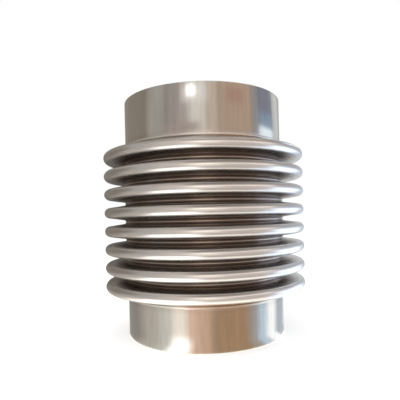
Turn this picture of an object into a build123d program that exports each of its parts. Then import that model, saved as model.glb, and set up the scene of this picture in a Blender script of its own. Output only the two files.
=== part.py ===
"""Unrestrained metal bellows expansion joint for a 114.3 mm pipe, in millimetres.

A two-ply stainless bellows with tapered convolutions joins two short pipe ends. Each end of the
bellows slips over its pipe and is closed by a circumferential weld bead. The axis is +Z and the
origin is the centre of the lower pipe's end face.

The bellows is one springy tube on the real object. Here it is divided on every flank, just
inside the crest's bend, into crest rings and root rings, so that each ring can slide and tilt on
the next one.
"""

import math
import os

from build123d import *

os.makedirs("parts", exist_ok=True)

# The two pipe ends
PIPE_OUTSIDE_DIAMETER = 114.3
PIPE_WALL = 3.05
PIPE_EDGE_BREAK = 0.5
LOWER_PIPE_BARE_LENGTH = 27.6
UPPER_PIPE_BARE_LENGTH = 31.4

# The bellows
CONVOLUTIONS = 8
PITCH = 13.0
CONVOLUTION_HEIGHT = 14.87
CREST_BEND_RADIUS = 3.25
ROOT_BEND_RADIUS = 1.82
PLY_THICKNESS = 0.4
PLY_GAP = 0.03
CUFF_SLIP = 0.05
CUFF_LENGTH = 0.8
RING_CUT_INSET = 0.2
RING_CLEARANCE = 0.1

# The attachment welds
BEAD_LEG = 1.5
BEAD_CROWN = 0.34
BEAD_PENETRATION = 0.3

# The pipe and the bellows wall
pipe_radius = PIPE_OUTSIDE_DIAMETER / 2
bore_radius = pipe_radius - PIPE_WALL
wall = 2 * PLY_THICKNESS + PLY_GAP
cuff_inside_radius = pipe_radius + CUFF_SLIP
cuff_outside_radius = cuff_inside_radius + wall

# Both bend radii are those of the middle of the wall
crest_outside_radius = cuff_outside_radius + CONVOLUTION_HEIGHT
root_centre_radius = cuff_inside_radius + wall / 2 + ROOT_BEND_RADIUS
crest_centre_radius = crest_outside_radius - wall / 2 - CREST_BEND_RADIUS

# A flank is the straight line that touches a crest's bend and a root's, so it leans a little,
# and a crest is wider at its foot than at its tip
bend_distance = math.hypot(crest_centre_radius - root_centre_radius, PITCH / 2)
bend_direction = math.atan2(PITCH / 2, crest_centre_radius - root_centre_radius)
flank_lean = bend_direction - math.asin((CREST_BEND_RADIUS + ROOT_BEND_RADIUS) / bend_distance)
flank_lean_degrees = math.degrees(flank_lean)
crest_tangent_radius = crest_centre_radius + CREST_BEND_RADIUS * math.sin(flank_lean)

# The rings meet this far out. Further in, two crest rings would be too wide at their feet to
# come as close together as a squeezed and bent bellows brings them
ring_cut_radius = crest_tangent_radius - RING_CUT_INSET
root_ring_edge = ring_cut_radius - RING_CLEARANCE / 2
crest_ring_edge = ring_cut_radius + RING_CLEARANCE / 2

# Heights along the axis, from the lower end face
lower_cuff_edge = LOWER_PIPE_BARE_LENGTH + BEAD_LEG
lower_cuff_bend = lower_cuff_edge + CUFF_LENGTH
first_crest = lower_cuff_bend + PITCH / 2
upper_cuff_bend = first_crest + (CONVOLUTIONS - 1) * PITCH + PITCH / 2
upper_cuff_edge = upper_cuff_bend + CUFF_LENGTH
overall_length = upper_cuff_edge + BEAD_LEG + UPPER_PIPE_BARE_LENGTH

# Each ply's two faces, as distances from the middle of the wall towards the outside air
PLIES = {
    "outer_ply": (wall / 2 - PLY_THICKNESS, wall / 2),
    "inner_ply": (-wall / 2, -wall / 2 + PLY_THICKNESS),
}


def finish(builder, label):
    """Label a finished piece and write its STEP file."""
    builder.part.label = label
    export_step(builder.part, f"parts/{label}.step")


def end_pipe(label, end_face, inward, bare_length):
    """A pipe end, from its square-cut end face to where the bellows starts to bend outwards.

    inward is +1 where the bellows lies above this pipe and -1 where it lies below. A shallow
    vee runs round the outside, where the attachment weld has melted into the pipe.
    """

    def height(distance):
        return end_face + inward * distance

    weld_toe = bare_length
    weld_end = bare_length + BEAD_LEG
    with BuildPart() as pipe:
        with BuildSketch(Plane.XZ):
            with BuildLine():
                Polyline(
                    (bore_radius + PIPE_EDGE_BREAK, height(0)),
                    (pipe_radius - PIPE_EDGE_BREAK, height(0)),
                    (pipe_radius, height(PIPE_EDGE_BREAK)),
                    (pipe_radius, height(weld_toe)),
                    (pipe_radius - BEAD_PENETRATION, height(weld_toe + BEAD_LEG / 2)),
                    (pipe_radius, height(weld_end)),
                    (pipe_radius, height(weld_end + CUFF_LENGTH)),
                    (bore_radius, height(weld_end + CUFF_LENGTH)),
                    (bore_radius, height(PIPE_EDGE_BREAK)),
                    close=True,
                )
            make_face()
        revolve(axis=Axis.Z)
    finish(pipe, label)


def weld_bead(label, cuff_edge, inward):
    """The bead that closes the cuff's edge to the pipe, with a convex face to the outside air."""
    toe = (pipe_radius, cuff_edge - inward * BEAD_LEG)
    melted = (pipe_radius - BEAD_PENETRATION, cuff_edge - inward * BEAD_LEG / 2)
    under_cuff = (pipe_radius, cuff_edge)
    over_cuff = (cuff_outside_radius, cuff_edge)
    with BuildPart() as bead:
        with BuildSketch(Plane.XZ):
            with BuildLine():
                Polyline(toe, melted, under_cuff, over_cuff)
                SagittaArc(toe, over_cuff, -inward * BEAD_CROWN)
            make_face()
        revolve(axis=Axis.Z)
    finish(bead, label)


def on_flank(tip, radius, rise):
    """The point of a flank at this radius. rise is +1 where the flank climbs outwards."""
    return (radius, tip.Y + rise * (radius - tip.X) * math.tan(flank_lean))


def cuff_ring(label, faces, bend_height, inward):
    """One ply of a bellows end: the cuff on the pipe, its bend and the first flank."""
    cuff_edge = bend_height - inward * CUFF_LENGTH
    cuff_corners = []
    flank_corners = []
    with BuildPart() as ring:
        with BuildSketch(Plane.XZ):
            with BuildLine():
                for face in faces:
                    radius = ROOT_BEND_RADIUS - face
                    bend = CenterArc(
                        (root_centre_radius, bend_height),
                        radius,
                        180,
                        -inward * (90 - flank_lean_degrees),
                    )
                    cuff_corners.append((root_centre_radius - radius, cuff_edge))
                    flank_corners.append(on_flank(bend @ 1, root_ring_edge, inward))
                    Line(cuff_corners[-1], bend @ 0)
                    Line(bend @ 1, flank_corners[-1])
                Line(*cuff_corners)
                Line(*flank_corners)
            make_face()
        revolve(axis=Axis.Z)
    finish(ring, label)


def bend_ring(label, centre_radius, centre_height, radii, start_angle, edge_radius):
    """One ply of a crest or a root: a round bend, with the flank on each side as far as the cut.

    start_angle is where a half-round bend would start. This one stops short of it by the
    flank's lean at both ends. The flank at its start climbs outwards, and the other one falls.
    """
    with BuildPart() as ring:
        with BuildSketch(Plane.XZ):
            with BuildLine():
                bends = [
                    CenterArc(
                        (centre_radius, centre_height),
                        radius,
                        start_angle + flank_lean_degrees,
                        180 - 2 * flank_lean_degrees,
                    )
                    for radius in radii
                ]
                for end, rise in ((0, 1), (1, -1)):
                    corners = [on_flank(bend @ end, edge_radius, rise) for bend in bends]
                    for bend, corner in zip(bends, corners):
                        Line(bend @ end, corner)
                    Line(*corners)
            make_face()
        revolve(axis=Axis.Z)
    finish(ring, label)


end_pipe("lower_end_pipe", 0, 1, LOWER_PIPE_BARE_LENGTH)
end_pipe("upper_end_pipe", overall_length, -1, UPPER_PIPE_BARE_LENGTH)
weld_bead("lower_weld_bead", lower_cuff_edge, 1)
weld_bead("upper_weld_bead", upper_cuff_edge, -1)

for ply, faces in PLIES.items():
    cuff_ring(f"{ply}_lower_cuff", faces, lower_cuff_bend, 1)
    cuff_ring(f"{ply}_upper_cuff", faces, upper_cuff_bend, -1)
    crest_radii = [CREST_BEND_RADIUS + face for face in faces]
    root_radii = [ROOT_BEND_RADIUS - face for face in faces]
    for index in range(CONVOLUTIONS):
        crest_height = first_crest + index * PITCH
        bend_ring(
            f"{ply}_crest_{index + 1}",
            crest_centre_radius,
            crest_height,
            crest_radii,
            -90,
            crest_ring_edge,
        )
        if index + 1 < CONVOLUTIONS:
            bend_ring(
                f"{ply}_root_{index + 1}",
                root_centre_radius,
                crest_height + PITCH / 2,
                root_radii,
                90,
                root_ring_edge,
            )

print(f"overall length {overall_length:.2f}, first crest at {first_crest:.2f}")
print(f"outside radii: cuff {cuff_outside_radius:.2f}, crest {crest_outside_radius:.2f}")
print(f"flanks lean {flank_lean_degrees:.2f} degrees, rings meet at {ring_cut_radius:.2f}")
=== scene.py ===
# %% [markdown]
# # A metal bellows expansion joint
# This joint lets a hot pipe grow without breaking. Two short pipe ends are joined by a thin
# steel tube with eight folds, and each end of that tube is closed to its pipe by a weld. The
# construction model already says where every piece is. This lesson gives the pieces the shapes,
# edges and finishes that the eye sees, and photographs them in a small studio.

# %% Load the construction model
import math

import bmesh
import bpy
from mathutils import Matrix, Vector


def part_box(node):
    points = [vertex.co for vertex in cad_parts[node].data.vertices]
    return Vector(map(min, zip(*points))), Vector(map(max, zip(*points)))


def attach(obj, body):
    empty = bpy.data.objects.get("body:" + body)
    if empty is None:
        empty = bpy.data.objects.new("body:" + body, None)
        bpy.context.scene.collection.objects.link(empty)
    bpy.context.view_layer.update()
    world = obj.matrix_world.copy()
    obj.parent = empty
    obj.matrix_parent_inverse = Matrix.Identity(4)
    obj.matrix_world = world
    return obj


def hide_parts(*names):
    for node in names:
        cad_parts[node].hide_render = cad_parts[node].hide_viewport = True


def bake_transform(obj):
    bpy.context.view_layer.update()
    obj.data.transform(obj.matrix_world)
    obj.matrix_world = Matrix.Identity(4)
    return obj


MM = 0.001

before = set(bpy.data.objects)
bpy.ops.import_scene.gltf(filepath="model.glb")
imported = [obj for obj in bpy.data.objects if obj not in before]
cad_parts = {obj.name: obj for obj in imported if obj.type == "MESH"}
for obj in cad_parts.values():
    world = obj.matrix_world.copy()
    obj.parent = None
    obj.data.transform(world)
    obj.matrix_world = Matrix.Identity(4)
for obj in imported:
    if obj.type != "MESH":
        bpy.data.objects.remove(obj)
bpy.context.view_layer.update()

# %% [markdown]
# ## Sizes
# Blender works in metres, while a fitter thinks in millimetres. Every size of the joint is
# written in millimetres and multiplied by MM, one millimetre in metres, where it is used. Only
# the floor and the lamps, further down, are in metres. The sizes could be read off the
# construction model, but written out they can be named, and each new piece still lies exactly
# where the piece that it stands for was. The centres and bends are those of the middle of the
# bellows' wall. Two radii are measured on the model, to be sure.

# %% The sizes of the pipe ends and of the bellows
PIPE_RADIUS = 57.15
BORE_RADIUS = 54.1
EDGE_BREAK = 0.5
LENGTH = 167.6
LOWER_WELD_TOE = 27.6
UPPER_WELD_TOE = 136.2
WELD_LEG = 1.5
WELD_VEE = 0.3
CUFF_SLIP = 0.05
CUFF_LENGTH = 0.8
CONVOLUTIONS = 8
FIRST_CREST = 36.4
PITCH = 13.0
WALL = 0.83
PLY = 0.4
ROOT_CENTRE = 59.435
ROOT_BEND = 1.82
CREST_CENTRE = 69.235
CREST_BEND = 3.25
CREST_RADIUS = CREST_CENTRE + CREST_BEND + WALL / 2

for node, radius in (("lower_end_pipe", PIPE_RADIUS), ("outer_ply_crest_1", CREST_RADIUS)):
    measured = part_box(node)[1].x / MM
    print(f"{node}: radius {measured:.2f} mm, expected {radius:.2f} mm")

# %% [markdown]
# ## Outlines
# Every piece here is a body of revolution: its outline, drawn once beside the axis, goes all
# the way round. A curve with a Screw modifier could do it. Here the outline starts as one
# vertex, the pen. A straight stretch comes from extruding it, and a bend from spinning it about
# the centre of the bend, as a pipe bender would. That way every bend is a true arc, with as
# many steps as it needs, and no modifier is left to apply.

# %% Draw an outline
OUTLINE_AXIS = Vector((0, 1, 0))


def at(radius, height):
    """A point of the outline, in the plane through the axis."""
    return Vector((radius, 0, height)) * MM


def draw_line(bm, pen, end):
    """Extrudes the outline's last vertex, the pen, in a straight line to end."""
    made = bmesh.ops.extrude_vert_indiv(bm, verts=[pen])
    made["verts"][0].co = end
    return made["verts"][0]


def draw_corners(bm, corners):
    """Draws straight lines from corner to corner, each of them a radius and a height."""
    pen = bm.verts.new(at(*corners[0]))
    for corner in corners[1:]:
        pen = draw_line(bm, pen, at(*corner))


def draw_bend(bm, pen, centre, degrees, steps):
    """Spins the pen about the centre of a bend. Plus is anticlockwise, with the radius to the
    right and the height upwards."""
    made = bmesh.ops.spin(
        bm,
        geom=[pen],
        cent=centre,
        axis=OUTLINE_AXIS,
        angle=-math.radians(degrees),
        steps=steps,
    )
    return made["geom_last"][0]


print("outlines are drawn in the XZ plane, beside the axis")

# %% [markdown]
# ## From an outline to a piece
# The finished outline is spun once about the axis of the pipe. An outline ends where it began,
# so its doubled points are merged, and then all faces are turned to point outwards. Turned
# metal looks smooth, but its real corners are crisp. A subdivision modifier would need extra
# edges to keep them, so the sharp edges are marked instead.

# %% Turn an outline and finish the piece
PIPE_AXIS = Vector((0, 0, 1))
SAME_POINT = 1e-7
SHARP_ANGLE = math.radians(35)


def turn(bm, segments):
    """Spins the outline once round the pipe's axis and closes the ring on itself."""
    bmesh.ops.remove_doubles(bm, verts=bm.verts[:], dist=SAME_POINT)
    bmesh.ops.spin(
        bm,
        geom=bm.verts[:] + bm.edges[:],
        cent=(0, 0, 0),
        axis=PIPE_AXIS,
        angle=math.tau,
        steps=segments,
        use_merge=True,
    )
    bmesh.ops.remove_doubles(bm, verts=bm.verts[:], dist=SAME_POINT)
    bmesh.ops.recalc_face_normals(bm, faces=bm.faces[:])


def finish_piece(bm, name, material):
    """Makes the bmesh an object that is shaded smooth, apart from its real corners."""
    for face in bm.faces:
        face.smooth = True
    for edge in bm.edges:
        edge.smooth = edge.is_manifold and edge.calc_face_angle() < SHARP_ANGLE
    mesh = bpy.data.meshes.new(name)
    bm.to_mesh(mesh)
    bm.free()
    piece = bpy.data.objects.new(name, mesh)
    bpy.context.scene.collection.objects.link(piece)
    piece.data.materials.append(material)
    return piece


print("corners sharper than", round(math.degrees(SHARP_ANGLE)), "degrees stay crisp")

# %% [markdown]
# ## Material tools
# A colour picked on a screen is an sRGB value, while a renderer adds light up in linear
# values, so one function does the conversion. A second one adds a node with its settings and
# links, which keeps each material readable from top to bottom. Nodes could also be wired by
# hand in the Shader Editor, but then nobody could read in the script what was done.

# %% Colours and nodes


def colour(hex_code, strength=1.0):
    """An sRGB hex colour as linear RGBA, times a strength for things that shine."""
    channels = [int(hex_code[i : i + 2], 16) / 255 for i in (1, 3, 5)]
    linear = [c / 12.92 if c <= 0.04045 else ((c + 0.055) / 1.055) ** 2.4 for c in channels]
    return (*[strength * c for c in linear], 1.0)


def add_node(tree, kind, settings=(), links=()):
    """Adds a node. A setting is an attribute of the node, or else the value of an input."""
    node = tree.nodes.new(kind)
    for name, value in dict(settings).items():
        if isinstance(name, str) and hasattr(node, name):
            setattr(node, name, value)
        else:
            node.inputs[name].default_value = value
    for name, source in dict(links).items():
        tree.links.new(source, node.inputs[name])
    return node


def new_material(name):
    """A node material with nothing in it yet."""
    material = bpy.data.materials.new(name)
    material.use_nodes = True
    material.node_tree.nodes.clear()
    return material, material.node_tree


print("a middle grey, #808080, is", round(colour("#808080")[0], 3), "of white's light")

# %% [markdown]
# ## Round-the-pipe coordinates
# Marks on turned metal run round the pipe or along it, not along X and Y. Unwrapping would give
# such coordinates piece by piece. A few nodes do it for all pieces at once: they change Object
# coordinates into three lengths, which are the distance round the pipe, the distance from the
# axis and the height. The first has to jump somewhere, as at a seam, and does so on the left. A
# noise that is stretched along the first becomes rolling lines, and one stretched along the
# third becomes drawing lines.

# %% Coordinates that follow the pipe


def round_the_pipe(tree):
    """Sockets with the distance round the pipe, the radius and the height, in millimetres."""
    place = add_node(tree, "ShaderNodeTexCoord").outputs["Object"]
    parts = add_node(tree, "ShaderNodeSeparateXYZ", links={0: place})
    flat = add_node(
        tree,
        "ShaderNodeCombineXYZ",
        links={"X": parts.outputs["X"], "Y": parts.outputs["Y"]},
    )
    radius = add_node(
        tree, "ShaderNodeVectorMath", {"operation": "LENGTH"}, {0: flat.outputs[0]}
    ).outputs["Value"]
    angle = add_node(
        tree,
        "ShaderNodeMath",
        {"operation": "ARCTAN2"},
        {0: parts.outputs["Y"], 1: parts.outputs["X"]},
    ).outputs[0]
    height = parts.outputs["Z"]
    lengths = []
    for source, factor in ((angle, PIPE_RADIUS), (radius, 1 / MM), (height, 1 / MM)):
        scaled = add_node(
            tree, "ShaderNodeMath", {"operation": "MULTIPLY", 1: factor}, {0: source}
        )
        lengths.append(scaled.outputs[0])
    return lengths


def streaks(tree, lengths, spacings, detail=3.0):
    """A noise whose marks have these three sizes, in millimetres: round the pipe, away from
    the axis and along it."""
    scaled = []
    for source, spacing in zip(lengths, spacings):
        part = add_node(
            tree, "ShaderNodeMath", {"operation": "DIVIDE", 1: spacing}, {0: source}
        )
        scaled.append(part.outputs[0])
    vector = add_node(tree, "ShaderNodeCombineXYZ", links=dict(enumerate(scaled)))
    noise = add_node(
        tree,
        "ShaderNodeTexNoise",
        {"Scale": 1.0, "Detail": detail},
        {"Vector": vector.outputs[0]},
    )
    return noise.outputs[0]


print("once round the pipe is", round(math.tau * PIPE_RADIUS), "mm")

# %% [markdown]
# ## Bellows strip: cold-rolled stainless steel, bright annealed
# The bellows is formed from thin strip that was rolled between polished rolls and annealed in
# hydrogen, so it comes out bright and slightly milky. Forming rubs it against round dies, which
# leaves faint lines round every convolution. A metal has no colour of its own beyond the tint
# of its reflections, so base colour, roughness and a little bump are the whole material. Down
# in the grooves the colour is darkened as painted shade, and the strip is made glossier there,
# which makes them look much deeper. The grooves are what lies nearest to the axis, so the
# painted shade follows the radius. Real die lines are about 0.1 mm apart, and a pixel of the
# picture is 0.6 mm or more. So here they are drawn half a millimetre apart and wider, where
# they only just show.

# %% The finish of the bellows
DIE_LINES = (60.0, 0.5, 0.5)
DIE_LINE_DEPTH = 0.02
MILKY_CLOUDS = (14.0, 9.0, 9.0)
NOISE_LOW = 0.3
NOISE_HIGH = 0.7
# Painted shade in the grooves begins at the first radius and is full at the second, in mm.
SHADE_STARTS = 67.8
SHADE_FULL = 62.5
GROOVE_GLOSS = 0.08


def make_strip_steel(name, groove_shaded):
    """Cold-rolled strip, with painted shade darkening its grooves if it is on the air side."""
    material, tree = new_material(name)
    lengths = round_the_pipe(tree)
    die_lines = streaks(tree, lengths, DIE_LINES)
    cloud = streaks(tree, lengths, MILKY_CLOUDS, 2.0)
    tone = add_node(
        tree,
        "ShaderNodeMix",
        {"data_type": "RGBA", 6: colour("#D3D1CE"), 7: colour("#C6C3C0")},
        {0: cloud},
    ).outputs[2]
    roughness = add_node(
        tree,
        "ShaderNodeMapRange",
        {"From Min": NOISE_LOW, "From Max": NOISE_HIGH, "To Min": 0.24, "To Max": 0.33},
        {"Value": die_lines},
    ).outputs[0]
    # Painted shade: nearer the axis, in the grooves, the tone is darkened towards #9A9089 and
    # the roughness is lowered.
    if groove_shaded:
        groove_shade = add_node(
            tree,
            "ShaderNodeMapRange",
            {
                "interpolation_type": "SMOOTHSTEP",
                "From Min": SHADE_STARTS,
                "From Max": SHADE_FULL,
            },
            {"Value": lengths[1]},
        )
        tone = add_node(
            tree,
            "ShaderNodeMix",
            {"data_type": "RGBA", 7: colour("#9A9089")},
            {0: groove_shade.outputs[0], 6: tone},
        ).outputs[2]
        roughness = add_node(
            tree,
            "ShaderNodeMath",
            {"operation": "MULTIPLY_ADD", 1: -GROOVE_GLOSS},
            {0: groove_shade.outputs[0], 2: roughness},
        ).outputs[0]
    bump = add_node(
        tree,
        "ShaderNodeBump",
        {"Strength": 0.1, "Distance": DIE_LINE_DEPTH * MM},
        {"Height": die_lines},
    )
    steel = add_node(
        tree,
        "ShaderNodeBsdfPrincipled",
        {"Metallic": 1.0},
        {"Base Color": tone, "Roughness": roughness, "Normal": bump.outputs[0]},
    )
    add_node(tree, "ShaderNodeOutputMaterial", links={"Surface": steel.outputs[0]})
    print("made", name)
    return material


outside_steel = make_strip_steel("cold_rolled_stainless_strip_outside", True)
inside_steel = make_strip_steel("cold_rolled_stainless_strip_inside", False)

# %% [markdown]
# ## Pipe ends: stainless tube, satin polished round the pipe
# The pipe ends were polished on rollers with a fine belt, so the scratches run round them.
# Scratches blur a reflection across their own direction, which is why every highlight on these
# ends is drawn out up and down. The tone is even, but for dull streaks that handling left.
# Next to each weld the tube is a little darker and browner. Such a band could be painted by
# hand, but it follows the weld, so it is worked out from the height: the nearer of the two
# welds counts.

# %% The tone of the pipe ends
DULL_STREAKS = (3.0, 30.0, 26.0)
TINT_REACH = 4.0
TINT_STRENGTH = 0.15

tube_steel, tree = new_material("satin_polished_stainless_tube")
lengths = round_the_pipe(tree)
cloud = streaks(tree, lengths, DULL_STREAKS)
tone = add_node(
    tree,
    "ShaderNodeMix",
    {"data_type": "RGBA", 6: colour("#D2CFCB"), 7: colour("#B9B6B1")},
    {0: cloud},
)
weld_distances = []
for toe in (LOWER_WELD_TOE, UPPER_WELD_TOE):
    offset = add_node(
        tree, "ShaderNodeMath", {"operation": "SUBTRACT", 1: toe}, {0: lengths[2]}
    )
    distance = add_node(
        tree, "ShaderNodeMath", {"operation": "ABSOLUTE"}, {0: offset.outputs[0]}
    )
    weld_distances.append(distance.outputs[0])
nearest_weld = add_node(
    tree, "ShaderNodeMath", {"operation": "MINIMUM"}, dict(enumerate(weld_distances))
)
# Within a few millimetres of each weld the tone is mixed a little towards a darker brown.
darker = add_node(
    tree,
    "ShaderNodeMapRange",
    {
        "interpolation_type": "SMOOTHSTEP",
        "From Min": TINT_REACH,
        "To Max": TINT_STRENGTH,
    },
    {"Value": nearest_weld.outputs[0]},
)
tone = add_node(
    tree,
    "ShaderNodeMix",
    {"data_type": "RGBA", 7: colour("#A38F80")},
    {0: darker.outputs[0], 6: tone.outputs[2]},
)
print("heat tint within", TINT_REACH, "mm of a weld")

# %% [markdown]
# ## The gloss of the pipe ends
# Bump could draw each scratch of the belt, but from here they are far finer than a pixel, so
# the blur itself is set instead. That is anisotropy, and its rotation of a quarter turn puts
# the long blur along the pipe. Rolling the tube also left it very slightly wavy from angle to
# angle, which breaks the reflections into upright streaks. A real belt's scratches are some
# 0.05 mm apart. The few that are drawn here are 0.35 mm apart and wider, and only just show.

# %% The gloss, the waves and the scratches
BELT_LINES = (40.0, 0.6, 0.35)
BELT_LINE_DEPTH = 0.01
ROLLED_FLATS = (2.6, 30.0, 80.0)
ROLLED_FLAT_DEPTH = 0.08

belt_lines = streaks(tree, lengths, BELT_LINES)
flats = streaks(tree, lengths, ROLLED_FLATS, 4.0)
roughness = add_node(
    tree,
    "ShaderNodeMapRange",
    {"From Min": NOISE_LOW, "From Max": NOISE_HIGH, "To Min": 0.19, "To Max": 0.25},
    {"Value": belt_lines},
)
wavy = add_node(
    tree,
    "ShaderNodeBump",
    {"Strength": 0.8, "Distance": ROLLED_FLAT_DEPTH * MM},
    {"Height": flats},
)
scratched = add_node(
    tree,
    "ShaderNodeBump",
    {"Strength": 0.05, "Distance": BELT_LINE_DEPTH * MM},
    {"Height": belt_lines, "Normal": wavy.outputs[0]},
)
steel = add_node(
    tree,
    "ShaderNodeBsdfPrincipled",
    {"Metallic": 1.0, "Anisotropic": 0.4, "Anisotropic Rotation": 0.25},
    {
        "Base Color": tone.outputs[2],
        "Roughness": roughness.outputs[0],
        "Normal": scratched.outputs[0],
    },
)
add_node(tree, "ShaderNodeOutputMaterial", links={"Surface": steel.outputs[0]})
print("made", tube_steel.name)

# %% [markdown]
# ## Weld metal: stainless steel, melted and frozen ripple by ripple
# A weld bead solidifies in small crescents and is left as it froze, so it is bright on the
# ripples and a little brown in between, where the oxide stayed. The ripples could be bump, but
# they are shaped in the mesh below, so the finish needs only the mottled tone of the oxide, in
# spots about as large as a ripple.

# %% The finish of the weld beads
OXIDE_SPOTS = (1.6, 0.8, 0.8)

weld_steel, tree = new_material("stainless_weld_metal")
oxide = streaks(tree, round_the_pipe(tree), OXIDE_SPOTS)
tone = add_node(
    tree,
    "ShaderNodeMix",
    {"data_type": "RGBA", 6: colour("#F2F0ED"), 7: colour("#D8D2CB")},
    {0: oxide},
)
steel = add_node(
    tree,
    "ShaderNodeBsdfPrincipled",
    {"Metallic": 1.0, "Roughness": 0.45},
    {"Base Color": tone.outputs[2]},
)
add_node(tree, "ShaderNodeOutputMaterial", links={"Surface": steel.outputs[0]})
print("made", weld_steel.name)

# %% [markdown]
# ## The pipe ends
# Each end is a length of pipe, cut square, with its edges broken so that it doesn't cut the
# fitter. It could be a hollow cylinder, but the weld has melted a shallow vee into its wall, so
# the wall is drawn with the vee and spun. A bevel then rounds the edges at the cut face, since
# a hand-filed edge is round and not a chamfer.

# %% Make the two pipe ends
PIPE_SEGMENTS = 192
SAME_HEIGHT = 1e-6


def make_pipe_end(name, end_face, weld_toe, body, node):
    """A pipe end from its cut face to where the bellows leaves it."""
    inward = 1 if weld_toe > end_face else -1
    cuff_edge = weld_toe + inward * WELD_LEG
    inner_end = weld_toe + inward * (WELD_LEG + CUFF_LENGTH)
    bm = bmesh.new()
    draw_corners(
        bm,
        (
            (BORE_RADIUS, end_face),
            (PIPE_RADIUS, end_face),
            (PIPE_RADIUS, weld_toe),
            (PIPE_RADIUS - WELD_VEE, weld_toe + inward * WELD_LEG / 2),
            (PIPE_RADIUS, cuff_edge),
            (PIPE_RADIUS, inner_end),
            (BORE_RADIUS, inner_end),
            (BORE_RADIUS, end_face),
        ),
    )
    turn(bm, PIPE_SEGMENTS)
    cut_edges = [
        edge
        for edge in bm.edges
        if all(abs(v.co.z - end_face * MM) < SAME_HEIGHT for v in edge.verts)
        and edge.calc_face_angle() > SHARP_ANGLE
    ]
    bmesh.ops.bevel(
        bm,
        geom=cut_edges,
        offset=EDGE_BREAK * MM,
        offset_type="OFFSET",
        segments=3,
        profile=0.5,
        affect="EDGES",
        clamp_overlap=True,
        material=-1,
    )
    bmesh.ops.recalc_face_normals(bm, faces=bm.faces[:])
    piece = finish_piece(bm, name, tube_steel)
    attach(piece, body)
    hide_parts(node)
    print(name, len(piece.data.polygons), "faces")


make_pipe_end("lower_tube_end", 0, LOWER_WELD_TOE, "lower_end", "lower_end_pipe")
make_pipe_end("upper_tube_end", LENGTH, UPPER_WELD_TOE, "upper_end", "upper_end_pipe")

# %% [markdown]
# ## The weld beads
# A bead closes the edge of the bellows to the pipe. Its face bulges slightly and carries a
# ripple every 1.2 mm, where the welder added the next drop. A row of small crescents could be
# modelled one by one. It is quicker to spin the bead's outline with five segments to a ripple,
# and then to push the points of its face in and out in crescents.

# %% Make the two weld beads
RIPPLES = 300
SEGMENTS_PER_RIPPLE = 5
RIPPLE_DEPTH = 0.03
RIPPLE_CURVE = 1.6
STILL_EDGE = 0.02
CROWN = 0.34
CROWN_STEPS = 8
OVER_CUFF = PIPE_RADIUS + CUFF_SLIP + WALL


def push_ripples(bm, weld_toe, inward):
    """Moves the points of the bead's face in and out, but not its edges, nor its back."""
    for vert in bm.verts:
        radius = math.hypot(vert.co.x, vert.co.y)
        along = (vert.co.z / MM - weld_toe) * inward / WELD_LEG
        off_the_pipe = radius > (PIPE_RADIUS + STILL_EDGE) * MM
        if off_the_pipe and STILL_EDGE < along < 1 - STILL_EDGE:
            across = 4 * along * (1 - along)
            turn_angle = math.atan2(vert.co.y, vert.co.x)
            wave = math.cos(RIPPLES * turn_angle + RIPPLE_CURVE * across)
            scale = 1 + RIPPLE_DEPTH * MM * across * wave / radius
            vert.co.x *= scale
            vert.co.y *= scale


def make_weld_bead(name, weld_toe, inward, body, node):
    """A convex bead between the pipe and the edge of the bellows' cuff."""
    cuff_edge = weld_toe + inward * WELD_LEG
    toe, top = at(PIPE_RADIUS, weld_toe), at(OVER_CUFF, cuff_edge)
    chord = (top - toe).length
    face_radius = (chord * chord / 4 + (CROWN * MM) ** 2) / (2 * CROWN * MM)
    inwards = OUTLINE_AXIS.cross(top - toe).normalized() * inward
    if inwards.x > 0:
        inwards.negate()
    centre = (toe + top) / 2 + inwards * (face_radius - CROWN * MM)
    sweep = math.degrees(2 * math.asin(chord / 2 / face_radius))
    vee = at(PIPE_RADIUS - WELD_VEE, weld_toe + inward * WELD_LEG / 2)
    bm = bmesh.new()
    pen = draw_bend(bm, bm.verts.new(toe), centre, sweep * inward, CROWN_STEPS)
    for corner in (at(PIPE_RADIUS, cuff_edge), vee, toe):
        pen = draw_line(bm, pen, corner)
    turn(bm, SEGMENTS_PER_RIPPLE * RIPPLES)
    push_ripples(bm, weld_toe, inward)
    piece = finish_piece(bm, name, weld_steel)
    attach(piece, body)
    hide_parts(node)
    print(name, len(piece.data.polygons), "faces")


make_weld_bead("lower_rippled_weld", LOWER_WELD_TOE, 1, "lower_end", "lower_weld_bead")
make_weld_bead("upper_rippled_weld", UPPER_WELD_TOE, -1, "upper_end", "upper_weld_bead")

# %% [markdown]
# ## The bends and flanks of the bellows
# A fold of the bellows is a round crest, two flanks and half of each neighbouring root. The
# root bends are tighter than the crest bends, so the flanks between them lean, and the grooves
# narrow inwards. A flank is the straight line that touches both bends. The lean could be read
# off the construction model, but here it is worked out from the same bends, in the same way.
# Where two pieces meet, on a crest or in a root, the bends start with very small steps, so that
# both pieces are shaded alike there.

# %% Draw the bends
FINE_STEPS = (0.8, 1.6, 3.2)
BEND_STEPS = 11


def flank_lean():
    """The angle between a flank and a plane across the pipe, in degrees."""
    across = CREST_CENTRE - ROOT_CENTRE
    between_bends = math.hypot(across, PITCH / 2)
    to_next_bend = math.atan2(PITCH / 2, across)
    return math.degrees(to_next_bend - math.asin((CREST_BEND + ROOT_BEND) / between_bends))


FLANK_LEAN = flank_lean()


def on_bend(centre_radius, centre_height, radius, degrees):
    """The point of a bend in this direction from its centre. Plus is anticlockwise from
    straight outwards."""
    angle = math.radians(degrees)
    return at(
        centre_radius + radius * math.cos(angle), centre_height + radius * math.sin(angle)
    )


def draw_quarter(bm, pen, centre, sign, fine_first):
    """A bend from a crest or a root to the flank, with fine steps where it meets the next
    half fold."""
    rest = 90 - FLANK_LEAN - sum(FINE_STEPS)
    turns = [(step, 1) for step in FINE_STEPS] + [(rest, BEND_STEPS)]
    for degrees, steps in turns if fine_first else reversed(turns):
        pen = draw_bend(bm, pen, centre, sign * degrees, steps)
    return pen


print("flanks lean", round(FLANK_LEAN, 2), "degrees")
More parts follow.
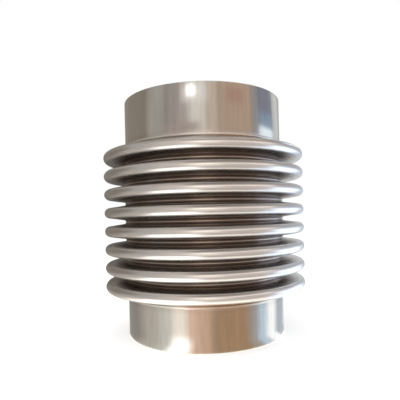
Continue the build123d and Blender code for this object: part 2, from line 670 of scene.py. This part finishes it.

# %% [markdown]
# ## Half folds
# The real bellows is one tube of two plies, and it moves because its folds bend. One long tube
# with an armature could bend like that, but each bone's share would have to be painted. Here
# each ply is made as sixteen half folds instead. A half fold runs from the bottom of one bend
# to the top of the next, so its two ends sit on two neighbouring bodies of the construction
# model.

# %% One half fold of one ply
FOLD_SEGMENTS = 160


def make_half_fold(name, way, faces, cuff, material):
    """A closed ring about height 0, which is the crest. It runs up the air side from the root,
    below it if way is 1 and above it if way is -1, and back down the inside. With a cuff it
    goes on past the root, along the pipe."""
    root_height = -way * PITCH / 2
    root, crest = at(ROOT_CENTRE, root_height), at(CREST_CENTRE, 0)
    air, inside = faces
    bm = bmesh.new()
    air_radius = ROOT_CENTRE - ROOT_BEND + air
    inside_radius = ROOT_CENTRE - ROOT_BEND + inside
    crest_end = way * (FLANK_LEAN - 90)
    root_end = way * (FLANK_LEAN + 90)
    cuff_edge = root_height - way * CUFF_LENGTH
    start = bm.verts.new(at(air_radius, cuff_edge if cuff else root_height))
    pen = draw_line(bm, start, at(air_radius, root_height)) if cuff else start
    pen = draw_quarter(bm, pen, root, -way, True)
    pen = draw_line(bm, pen, on_bend(CREST_CENTRE, 0, CREST_BEND + air, crest_end))
    pen = draw_quarter(bm, pen, crest, way, False)
    pen = draw_line(bm, pen, at(CREST_CENTRE + CREST_BEND + inside, 0))
    pen = draw_quarter(bm, pen, crest, -way, True)
    foot = on_bend(ROOT_CENTRE, root_height, ROOT_BEND - inside, root_end)
    pen = draw_line(bm, pen, foot)
    pen = draw_quarter(bm, pen, root, way, False)
    if cuff:
        pen = draw_line(bm, pen, at(inside_radius, cuff_edge))
    draw_line(bm, pen, start.co)
    turn(bm, FOLD_SEGMENTS)
    return finish_piece(bm, name, material)


print("a half fold is", PITCH / 2, "mm high")

# %% [markdown]
# ## Two plies of sixteen half folds
# The half folds of a ply come in four shapes: a lower and an upper half, each with a cuff or
# without. An Array modifier would make them one object, which couldn't follow seventeen bodies,
# and spinning thirty-two rings one by one would take long. So the four are made once, as
# patterns, and each half fold is a copy that is raised to its height in its mesh. Each copy
# hides the construction model's crest, root or cuff that it stands for.

# %% Make all the half folds
PLIES = {
    "outer_ply": ((WALL / 2, WALL / 2 - PLY), outside_steel),
    "inner_ply": ((PLY - WALL / 2, -WALL / 2), inside_steel),
}


def copy_at(pattern, name, height):
    """A copy of a pattern piece, raised to its height with its place in its mesh."""
    mesh = pattern.data.copy()
    mesh.name = name
    mesh.transform(Matrix.Translation((0, 0, height * MM)))
    piece = bpy.data.objects.new(name, mesh)
    bpy.context.scene.collection.objects.link(piece)
    return piece


for ply, (faces, material) in PLIES.items():
    patterns = {
        (way, cuff): make_half_fold(f"pattern_{way}_{cuff}", way, faces, cuff, material)
        for way in (1, -1)
        for cuff in (False, True)
    }
    for number in range(1, CONVOLUTIONS + 1):
        crest = FIRST_CREST + (number - 1) * PITCH
        for half, way in (("lower", 1), ("upper", -1)):
            at_end = number == (1 if half == "lower" else CONVOLUTIONS)
            name = f"{ply}_half_fold_{number}_{half}"
            piece = copy_at(patterns[way, at_end], name, crest)
            if half == "lower":
                nodes = [f"{ply}_crest_{number}"] + [f"{ply}_lower_cuff"] * at_end
            else:
                nodes = [f"{ply}_upper_cuff" if at_end else f"{ply}_root_{number}"]
            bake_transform(piece)
            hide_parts(*nodes)
    for pattern in patterns.values():
        bpy.data.meshes.remove(pattern.data)
    print(ply, "done, a half fold has", len(piece.data.polygons), "faces")

# %% [markdown]
# ## The floor
# The joint stands on a white sheet that keeps its soft shadow. Away from the shadow the sheet
# has to melt into a white background. More lamps would do that, but they would bleach the
# metal too. So the paper glows a little, and only for rays that are seen: straight from the
# camera, in a mirror or through glass. The lighting itself stays at a plain level.

# %% Make the floor
FLOOR_SIZE = 6.0
FLOOR_GLOW = 0.36


def is_seen(tree):
    """A socket that is 1 for rays from the camera, from a mirror and through glass."""
    rays = add_node(tree, "ShaderNodeLightPath")
    seen = add_node(
        tree,
        "ShaderNodeMath",
        {"operation": "ADD"},
        {0: rays.outputs["Is Camera Ray"], 1: rays.outputs["Is Glossy Ray"]},
    )
    seen = add_node(
        tree,
        "ShaderNodeMath",
        {"operation": "ADD", "use_clamp": True},
        {0: seen.outputs[0], 1: rays.outputs["Is Transmission Ray"]},
    )
    return seen.outputs[0]


paper, tree = new_material("white_paper")
glow = add_node(
    tree, "ShaderNodeMath", {"operation": "MULTIPLY", 1: FLOOR_GLOW}, {0: is_seen(tree)}
)
matt = add_node(tree, "ShaderNodeBsdfDiffuse", {"Color": colour("#F4F4F4")})
shine = add_node(
    tree, "ShaderNodeEmission", {"Color": colour("#FFFFFF")}, {"Strength": glow.outputs[0]}
)
both = add_node(
    tree, "ShaderNodeAddShader", links={0: matt.outputs[0], 1: shine.outputs[0]}
)
add_node(tree, "ShaderNodeOutputMaterial", links={"Surface": both.outputs[0]})
bm = bmesh.new()
bmesh.ops.create_grid(bm, x_segments=1, y_segments=1, size=FLOOR_SIZE / 2)
floor = finish_piece(bm, "floor", paper)
print("floor of", FLOOR_SIZE, "m")

# %% [markdown]
# ## The world
# Behind everything is plain white, as behind a product in a catalogue. A curved backdrop would
# be right from one side only, while the world is white from all sides. It lights the scene at
# three quarters of its strength, and is seen at full white.

# %% Make the world
WORLD_LEVEL = 0.75
world = bpy.data.worlds.new("plain_studio")
bpy.context.scene.world = world
world.use_nodes = True
tree = world.node_tree
tree.nodes.clear()
level = add_node(
    tree,
    "ShaderNodeMapRange",
    {"To Min": WORLD_LEVEL, "To Max": 1.0},
    {"Value": is_seen(tree)},
)
sky = add_node(
    tree,
    "ShaderNodeBackground",
    {"Color": colour("#FFFFFF")},
    {"Strength": level.outputs[0]},
)
add_node(tree, "ShaderNodeOutputWorld", links={"Surface": sky.outputs[0]})
world.cycles.sampling_method = "NONE"
print("a plain world at", WORLD_LEVEL)

# %% [markdown]
# ## Painting with light
# Bright metal shows its surroundings and little else, so it is photographed inside a tent of
# paper that gives it something to show. A whole room could be modelled round it, but then a
# reflection would be hard to put in its place. Here each paper, window and lamp is a soft-edged
# patch painted on the tent, which two angles place: the azimuth, counted from the camera
# towards the right, and the elevation, both as an eye on the pipe's axis sees them.

# %% Directions and soft edges


def directions(tree, eye_height):
    """Sockets with the azimuth and elevation of a point, seen from this height on the axis."""
    place = add_node(tree, "ShaderNodeTexCoord").outputs["Object"]
    outwards = add_node(
        tree,
        "ShaderNodeVectorMath",
        {"operation": "SUBTRACT", 1: (0, 0, eye_height * MM)},
        {0: place},
    )
    unit = add_node(
        tree, "ShaderNodeVectorMath", {"operation": "NORMALIZE"}, {0: outwards.outputs[0]}
    )
    parts = add_node(tree, "ShaderNodeSeparateXYZ", links={0: unit.outputs[0]})
    towards_camera = add_node(
        tree, "ShaderNodeMath", {"operation": "MULTIPLY", 1: -1}, {0: parts.outputs["Y"]}
    )
    azimuth = add_node(
        tree,
        "ShaderNodeMath",
        {"operation": "ARCTAN2"},
        {0: parts.outputs["X"], 1: towards_camera.outputs[0]},
    )
    elevation = add_node(
        tree, "ShaderNodeMath", {"operation": "ARCSINE"}, {0: parts.outputs["Z"]}
    )
    return azimuth.outputs[0], elevation.outputs[0]


def band(tree, angle, centre, half, softness):
    """A mask that is 1 round the centre. Its edge lies half away from there, on both sides, and
    fades over the softness before it and after it."""
    offset = add_node(
        tree,
        "ShaderNodeMath",
        {"operation": "SUBTRACT", 1: math.radians(centre)},
        {0: angle},
    )
    wrapped = add_node(
        tree,
        "ShaderNodeMath",
        {"operation": "WRAP", 1: math.pi, 2: -math.pi},
        {0: offset.outputs[0]},
    )
    distance = add_node(
        tree, "ShaderNodeMath", {"operation": "ABSOLUTE"}, {0: wrapped.outputs[0]}
    )
    edge = add_node(
        tree,
        "ShaderNodeMapRange",
        {
            "interpolation_type": "SMOOTHSTEP",
            "From Min": math.radians(half + softness),
            "From Max": math.radians(half - softness),
        },
        {"Value": distance.outputs[0]},
    )
    return edge.outputs[0]


print("azimuth 0 points at the camera, and 90 to the right")

# %% [markdown]
# ## Glowing paper that only reflections see
# A paper starts with its ground colour, and each patch is painted over the ones before, as with
# opaque paint. Real lamps would light the joint and the floor too, and then no reflection could
# be changed alone. These papers glow, but they light nothing: only reflections see them, so the
# camera looks in from any side, and the floor's shadow doesn't depend on them.

# %% Paint a paper and hide it from all but reflections


def painted_paper(name, eye_height, ground, patches):
    """A glowing paper: its ground colour, with each patch painted over the ones before."""
    material, tree = new_material(name)
    azimuth, elevation = directions(tree, eye_height)
    base = add_node(tree, "ShaderNodeRGB")
    base.outputs[0].default_value = colour(ground)
    paint = base.outputs[0]
    for _, sideways, upwards, hex_code, strength in patches:
        mask = add_node(
            tree,
            "ShaderNodeMath",
            {"operation": "MULTIPLY"},
            {
                0: band(tree, azimuth, *sideways),
                1: band(tree, elevation, *upwards),
            },
        )
        paint = add_node(
            tree,
            "ShaderNodeMix",
            {"data_type": "RGBA", 7: colour(hex_code, strength)},
            {0: mask.outputs[0], 6: paint},
        ).outputs[2]
    shine = add_node(tree, "ShaderNodeEmission", links={"Color": paint})
    add_node(tree, "ShaderNodeOutputMaterial", links={"Surface": shine.outputs[0]})
    material.cycles.emission_sampling = "NONE"
    print(name, "with", len(patches), "patches")
    return material


def only_in_reflections(stage_piece):
    """Hides a piece of the stage from every ray but reflections."""
    for ray in ("camera", "diffuse", "transmission", "volume_scatter", "shadow"):
        setattr(stage_piece, f"visible_{ray}", False)


# %% [markdown]
# ## The light tent
# The tent stands round the joint and the camera. It could be a box, like a shop's, but a box has
# corners, and the crests would show them, so it is a sphere, cut flat just above the floor. A
# window with its light on the floor is on the right, a lamp's pool of light on the left, lamps
# are above the camera, the floor in front is lit, and warm and grey papers fill the rest. A row
# gives a patch's name, its azimuth and its elevation, each with half its width and the softness
# of its edge in degrees, its colour, and its strength, which is 1 for plain paper.

# %% Make the light tent
TENT_CENTRE = 84
TENT_RADIUS = 350
TENT_FOOT = 0.05
TENT_PATCHES = (
    ("right backdrop", (165, 30, 12), (10, 45, 12), "#E4E6E8", 1.05),
    ("left backdrop", (-158, 26, 10), (2, 26, 8), "#75716C", 1.0),
    ("back ceiling", (178, 44, 14), (50, 16, 10), "#E8E3DF", 1.1),
    ("grey wall", (-104, 30, 12), (8, 26, 12), "#958D84", 1.0),
    ("left paper", (-62, 14, 8), (16, 28, 8), "#CACAC7", 1.0),
    ("dark ceiling", (62, 90, 14), (72, 26, 12), "#857C78", 1.0),
    ("left ceiling", (-80, 52, 14), (56, 20, 14), "#D8D0CA", 1.0),
    ("left light", (-32, 16, 9), (22, 28, 10), "#EBE1D9", 1.05),
    ("warm paper", (40, 28, 12), (4, 28, 10), "#E6D8D0", 1.0),
    ("light paper", (0, 16, 10), (8, 22, 9), "#FFF1E4", 1.35),
    ("side paper", (64, 9, 6), (14, 16, 8), "#F2ECEA", 1.1),
    ("dim floor", (0, 200, 9), (-68, 28, 8), "#E6E0DA", 1.0),
    ("floor", (5, 78, 14), (-68, 28, 8), "#FFF5EC", 2.2),
    ("lit floor", (5, 75, 10), (-48, 13, 8), "#FFF9F2", 1.75),
    ("left floor light", (-80, 14, 8), (-18, 14, 8), "#D6CEC6", 1.0),
    ("window glow", (110, 30, 12), (-4, 28, 10), "#CFD7E2", 1.0),
    ("window", (97, 24, 6), (-13, 17, 6), "#DCE9FF", 2.5),
    ("window on the floor", (82, 26, 9), (-40, 13, 8), "#E2EEFF", 2.2),
    ("lamp pool", (-30, 24, 9), (-36, 16, 8), "#FFFDFA", 2.5),
    ("long lamp", (-1, 12, 7), (18, 6, 5), "#FFFAF4", 2.2),
    ("thin lamp", (46, 32, 8), (21, 3, 3), "#FFF6F0", 2.2),
    ("dark zenith", (100, 112, 12), (90, 30, 8), "#757A80", 1.0),
)
bm = bmesh.new()
bmesh.ops.create_uvsphere(
    bm,
    u_segments=64,
    v_segments=32,
    radius=TENT_RADIUS * MM,
    matrix=Matrix.Translation((0, 0, TENT_CENTRE * MM)),
)
cut = bmesh.ops.bisect_plane(
    bm,
    geom=bm.verts[:] + bm.edges[:] + bm.faces[:],
    plane_co=(0, 0, TENT_FOOT * MM),
    plane_no=(0, 0, 1),
    clear_inner=True,
)
rim = [edge for edge in cut["geom_cut"] if isinstance(edge, bmesh.types.BMEdge)]
bmesh.ops.contextual_create(bm, geom=rim)
tent_paper = painted_paper("tent_paper", TENT_CENTRE, "#C4BAB2", TENT_PATCHES)
only_in_reflections(finish_piece(bm, "light_tent", tent_paper))
print("tent of", 2 * TENT_RADIUS, "mm")

# %% [markdown]
# ## A paper collar round each pipe end
# The crests are round and mirror the whole tent, but a pipe is straight. It would mirror only a
# thin belt of a tent so far away, and the lower one little but floor. So a collar of paper
# stands close round each pipe end, where every height on the pipe shows its own part of it.
# Photographers do the same with a strip of card just outside the picture. The lower collar
# starts as a ring on the floor and turns up at its rim. Most of its patches run over any
# height, as a window frame or a board would.

# %% The papers of the lower collar
ANY_HEIGHT = (0, 90, 1)
LOWER_COLLAR = ((58, 0.1), (68, 0.1), (68, 29.5))
LOWER_EYE = 14
LOWER_PATCHES = (
    ("right side", (100, 30, 8), ANY_HEIGHT, "#F2F5FF", 1.05),
    ("left light", (-43, 16, 12), ANY_HEIGHT, "#DDD6CC", 1.0),
    ("light wall", (-30, 9, 6), ANY_HEIGHT, "#F4F3EA", 1.0),
    ("bright paper", (-19, 7, 5), ANY_HEIGHT, "#FFF6EC", 1.5),
    ("pink paper", (-9, 5, 5), ANY_HEIGHT, "#FFD9C0", 1.2),
    ("light board", (-1, 7, 6), ANY_HEIGHT, "#F6D2B6", 1.03),
    ("tan board", (21, 17, 8), ANY_HEIGHT, "#C9A685", 1.0),
    ("grey gap", (39, 5, 4), ANY_HEIGHT, "#C9C0BC", 1.0),
    ("window edge", (48, 5, 4), ANY_HEIGHT, "#D6EAFF", 1.25),
    ("window", (61, 8, 4), ANY_HEIGHT, "#F4FAFF", 1.8),
    ("window frame", (82, 10, 6), ANY_HEIGHT, "#D3DEEA", 1.0),
    ("lamp", (-20, 6, 7), (-14, 6, 5), "#FFFEFC", 3.0),
)
lower_paper = painted_paper("lower_collar_paper", LOWER_EYE, "#A9A5A0", LOWER_PATCHES)

# %% [markdown]
# ## The upper collar
# The upper pipe mirrors more of a room: a window with its head and sky on the right, a lamp
# high above the camera, and boards in warm and grey tones. One tall collar could serve both
# pipes, but then its papers would have to be right for both. This one starts beside the weld
# and is far taller than the joint, so that its top edge doesn't show when the joint bends.

# %% The papers of the upper collar
UPPER_COLLAR = ((76, 134.2), (76, 240))
UPPER_EYE = 137
UPPER_PATCHES = (
    ("back", (152, 48, 12), ANY_HEIGHT, "#DBDBD6", 1.0),
    ("right side", (88, 11, 4), ANY_HEIGHT, "#EDF0F4", 1.0),
    ("grey paper", (-41, 9, 4), ANY_HEIGHT, "#C3C1BA", 1.0),
    ("mauve gap", (-25, 5, 4), ANY_HEIGHT, "#BBB4AF", 1.0),
    ("pale paper", (-15, 5, 4), ANY_HEIGHT, "#D2C6C1", 1.0),
    ("light paper", (-3, 8, 4), ANY_HEIGHT, "#FFF8EF", 1.03),
    ("cream paper", (9, 5, 4), ANY_HEIGHT, "#EBDAC9", 1.0),
    ("tan paper", (30, 16, 4), ANY_HEIGHT, "#D6BDA8", 1.0),
    ("window frame", (50, 4, 2.5), ANY_HEIGHT, "#B2B2B5", 1.0),
    ("window head", (66, 12, 3), ANY_HEIGHT, "#9A9DAF", 1.0),
    ("window sky", (66, 12, 3), (0, 15, 3), "#A6BBD5", 1.0),
    ("red cloth", (29, 8, 4), (22, 5, 3), "#CFA999", 1.0),
    ("lamp glow", (-6, 10, 4), (23, 5, 3), "#FFFBF7", 1.15),
    ("low shade", (-16, 14, 6), (1, 3, 2), "#C6B8B3", 1.0),
    ("window", (66, 12, 3), (0, 5, 2), "#E8F5FF", 1.7),
    ("lamp", (-8.5, 3.5, 2), (24.5, 3, 1.5), "#FFFFFF", 3.0),
    ("light above the weld", (18, 50, 14), (53, 14, 5), "#F4F7FF", 2.2),
)
upper_paper = painted_paper("upper_collar_paper", UPPER_EYE, "#A39A8F", UPPER_PATCHES)

# %% [markdown]
# ## Standing the collars up
# A collar is an outline of two or three corners, turned like every other piece. A plain
# cylinder would do for the upper one, but not for the lower one with its ring on the floor.

# %% Make the two collars
COLLAR_SEGMENTS = 96
for name, outline, collar_paper in (
    ("lower_collar", LOWER_COLLAR, lower_paper),
    ("upper_collar", UPPER_COLLAR, upper_paper),
):
    bm = bmesh.new()
    draw_corners(bm, outline)
    turn(bm, COLLAR_SEGMENTS)
    only_in_reflections(finish_piece(bm, name, collar_paper))
    print(name, "of radius", outline[-1][0], "mm")

# %% [markdown]
# ## Lamps
# Two large soft lamps give the floor its shadow. The sun could do it, but its shadow would be
# hard, and a small lamp's is too. They are hidden from reflections, because the tent already
# says what the metal sees.

# %% Make the lamps
LAMPS_AIM_AT = Vector((0, 0, 0.05))
for name, place, size, watts in (
    ("key_lamp", (-0.5, -0.5, 0.8), 0.6, 3.0),
    ("fill_lamp", (0.7, -0.2, 0.6), 0.8, 1.5),
):
    lamp = bpy.data.lights.new(name, "AREA")
    lamp.size = size
    lamp.energy = watts
    lamp_object = bpy.data.objects.new(name, lamp)
    lamp_object.location = place
    aim = LAMPS_AIM_AT - Vector(place)
    lamp_object.rotation_euler = aim.to_track_quat("-Z", "Y").to_euler()
    lamp_object.visible_glossy = False
    bpy.context.scene.collection.objects.link(lamp_object)
    print(name, "at", place)

# %% [markdown]
# ## The camera
# The picture was taken from close by, with the lens level with the middle of the joint, so the
# top edge arches up and the bottom edge arches down. A camera farther off could show the joint
# as large through a longer lens, but both arches would be too flat. The numbers come from
# fitting the edges of the pipes and crests. The camera leans by about a degree, which tips the
# joint a little to the left, and a small shift moves the picture without turning the view.

# %% Make the camera
PICTURE_WIDTH = 400
LENS_PIXELS = 393.26
SHIFT_RIGHT = -4.2
SHIFT_UP = 16.76
CAMERA_PLACE = (0, -297.26, 84.36)
CAMERA_LEAN = -1.4
camera = bpy.data.cameras.new("camera")
camera.sensor_width = 36
camera.lens = LENS_PIXELS / PICTURE_WIDTH * camera.sensor_width
camera.shift_x = SHIFT_RIGHT / PICTURE_WIDTH
camera.shift_y = SHIFT_UP / PICTURE_WIDTH
camera.clip_start = 0.01
camera_object = bpy.data.objects.new("camera", camera)
camera_object.location = Vector(CAMERA_PLACE) * MM
lean = Matrix.Rotation(math.radians(CAMERA_LEAN), 3, "Z")
level_view = Matrix.Rotation(math.radians(90), 3, "X")
camera_object.rotation_euler = (level_view @ lean).to_euler()
bpy.context.scene.collection.objects.link(camera_object)
bpy.context.scene.camera = camera_object
bpy.context.scene.view_settings.view_transform = "Standard"
print("lens", round(camera.lens, 2), "mm")
